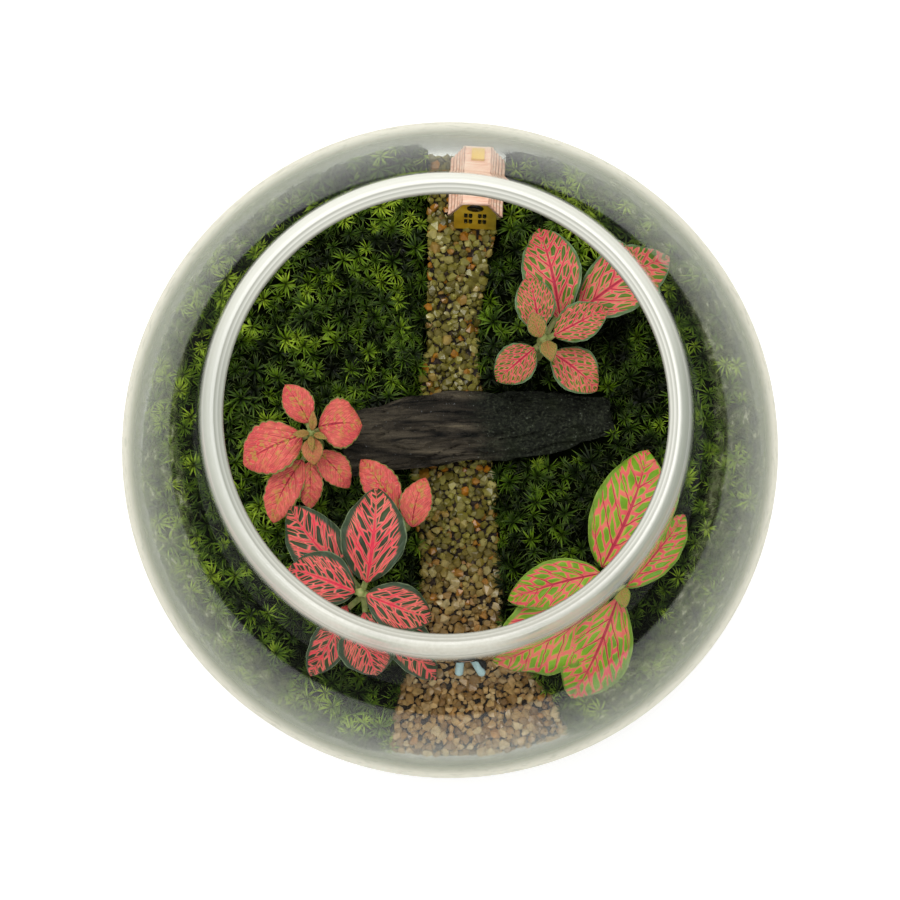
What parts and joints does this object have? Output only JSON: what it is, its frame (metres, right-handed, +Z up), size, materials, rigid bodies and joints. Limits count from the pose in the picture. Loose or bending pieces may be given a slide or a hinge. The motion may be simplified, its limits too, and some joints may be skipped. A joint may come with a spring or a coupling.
{
  "type": "glass plant terrarium",
  "caption": "Round open glass bowl planted as a small landscape: moss carpets, gravel path, dark stone, veined-leaf plants, a small house and a seated figure.",
  "frame": {"origin": "centre of the flat foot of the bowl, on the surface it stands on", "axes": "+Z up through the mouth; -Y towards the front, where the gravel path widens at the glass; +X to the viewer's right"},
  "size_m": [0.15, 0.15, 0.1233],
  "materials": {
    "glass": "clear polished glass with a little condensation inside",
    "gravel": "wet rounded quartz grains, beige to amber",
    "soil": "dark damp potting soil",
    "moss": "star moss, dark to bright yellow-green",
    "stone": "split dark slate, cracked lengthwise",
    "house_walls": "mustard-yellow painted resin",
    "house_roof": "peach and cream painted resin with brown lines",
    "figure": "painted resin, pale blue legs and black coat",
    "leaf_pink_net": "living leaf: pink veins in a net, green islands",
    "leaf_coral": "living leaf: coral all over, olive edge",
    "leaf_dark": "living leaf: dark green with coral veins",
    "leaf_lime": "living leaf: lime green with a pink net of veins"
  },
  "bodies": {
    "root": {"glass_bowl": "glass", "drainage_gravel": "gravel", "soil": "soil", "path_gravel": "gravel", "moss_left": "moss", "moss_right": "moss", "stone": "stone", "house_walls": "house_walls", "house_roof": "house_roof", "figure": "figure", "plant_rear": "leaf_pink_net", "plant_left": "leaf_coral", "plant_sprout": "leaf_coral", "plant_front_left": "leaf_dark", "plant_front_right": "leaf_lime"}
  },
  "joints": []
}
